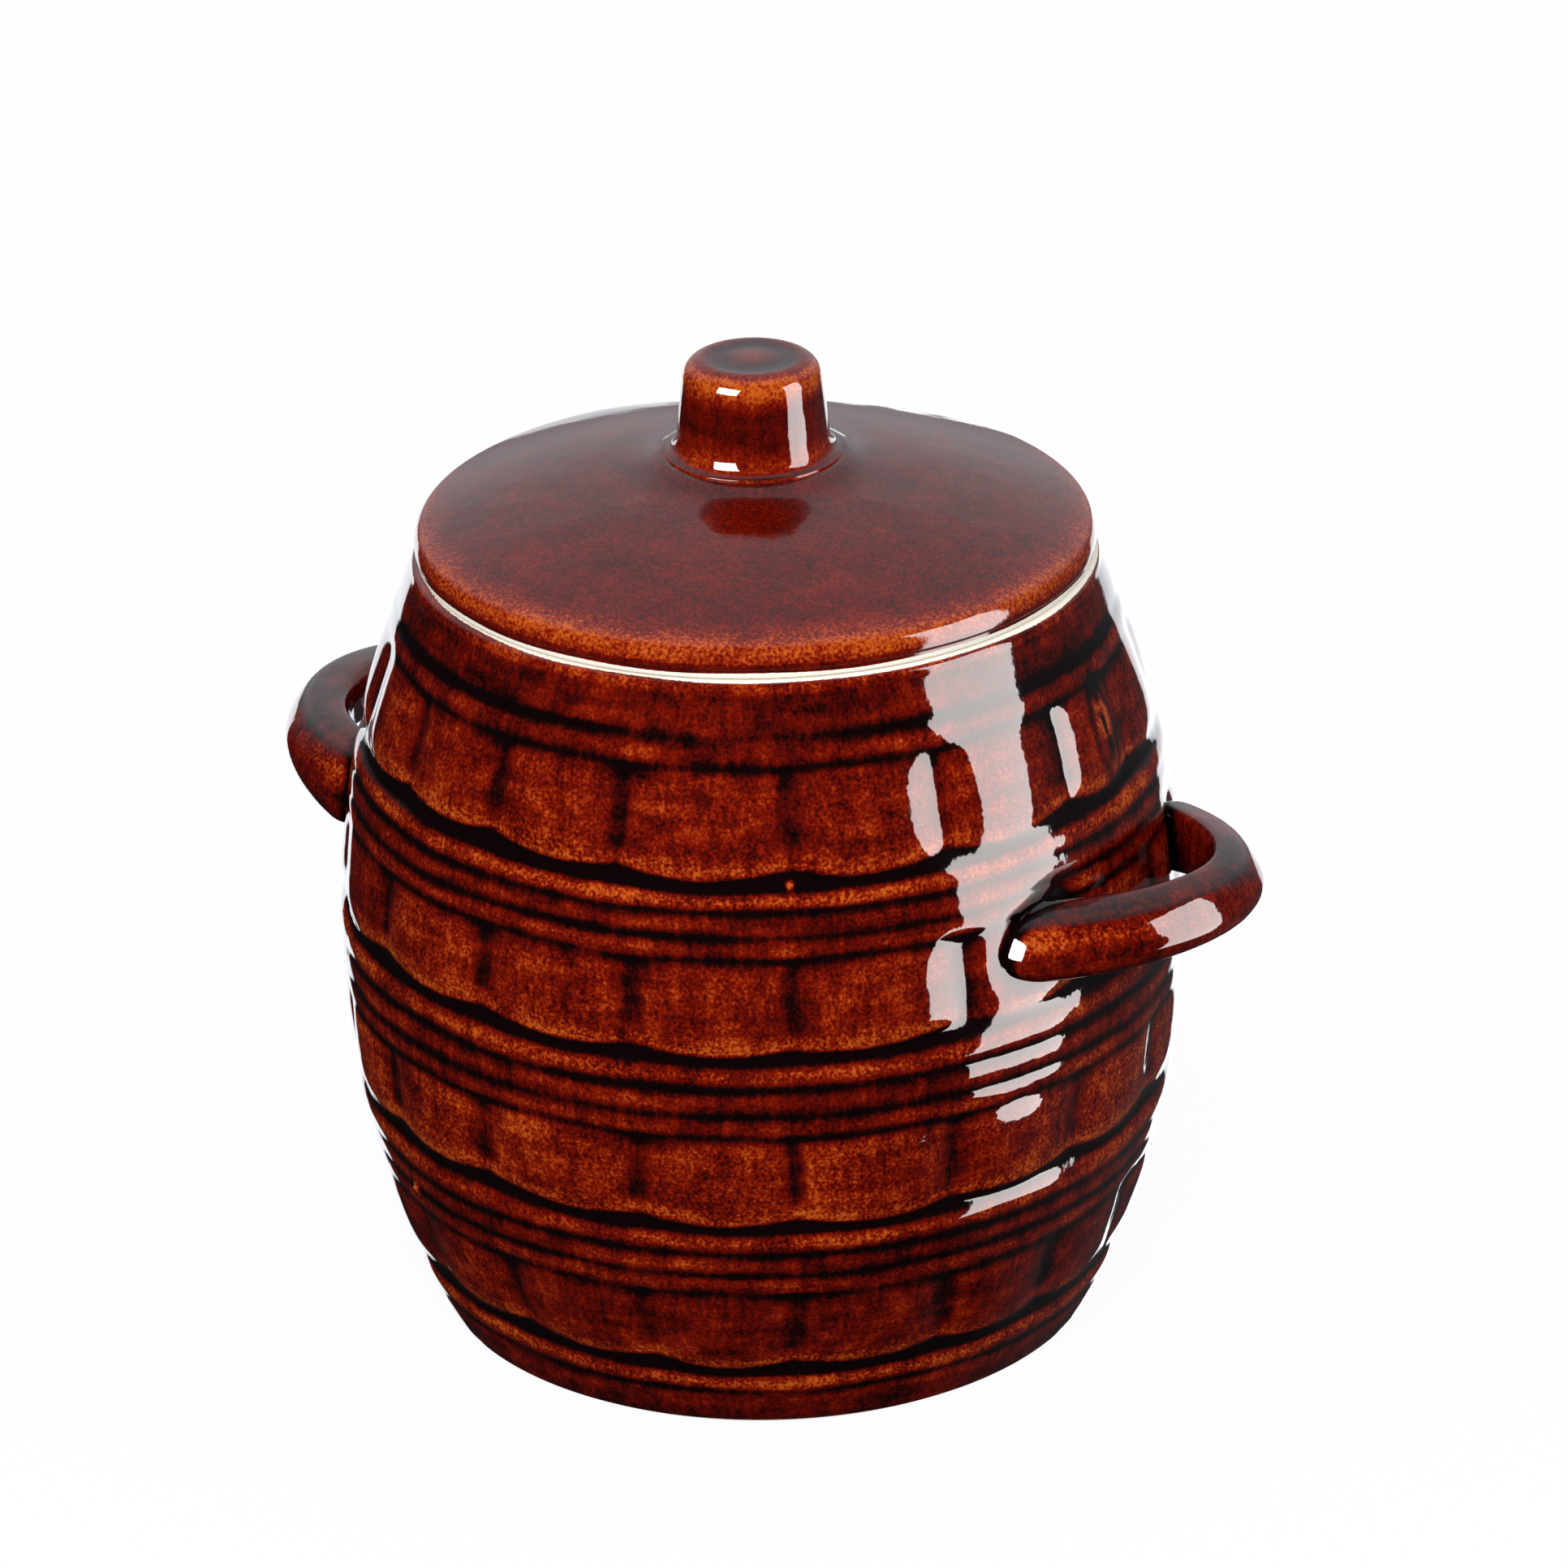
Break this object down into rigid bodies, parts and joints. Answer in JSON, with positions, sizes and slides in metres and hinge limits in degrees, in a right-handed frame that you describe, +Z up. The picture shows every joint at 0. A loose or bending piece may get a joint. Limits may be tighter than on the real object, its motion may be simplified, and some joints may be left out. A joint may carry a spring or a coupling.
{
  "type": "stoneware crock",
  "caption": "Glazed stoneware crock shaped like a hooped stave barrel, with two loop handles and a domed lift-off lid with a knob, for storing and pickling food.",
  "frame": {"origin": "centre of the foot on the plane the crock stands on", "axes": "+Z up along the barrel's axis, +X through the two handles, +Y across them"},
  "size_m": [0.222, 0.1776, 0.21],
  "materials": {
    "glaze_barrel": "glossy iron-brown glaze, amber on the crests and black in the grooves, bare cream clay on the rim seat and foot ring",
    "glaze_handle": "glossy iron-brown glaze with amber breaks",
    "glaze_lid": "glossy iron-brown glaze, amber on the rolled edge, bare cream clay on the seat",
    "glaze_knob": "glossy iron-brown glaze, amber on the top edge"
  },
  "bodies": {
    "crock": {"crock_body": "glaze_barrel", "handle_right": "glaze_handle", "handle_left": "glaze_handle"},
    "lid": {"lid": "glaze_lid", "lid_knob": "glaze_knob"}
  },
  "joints": [
    {"name": "lid_lift", "type": "slide", "parent": "crock", "child": "lid", "axis": [0, 0, 1], "range_m": [0, 0.12]}
  ]
}
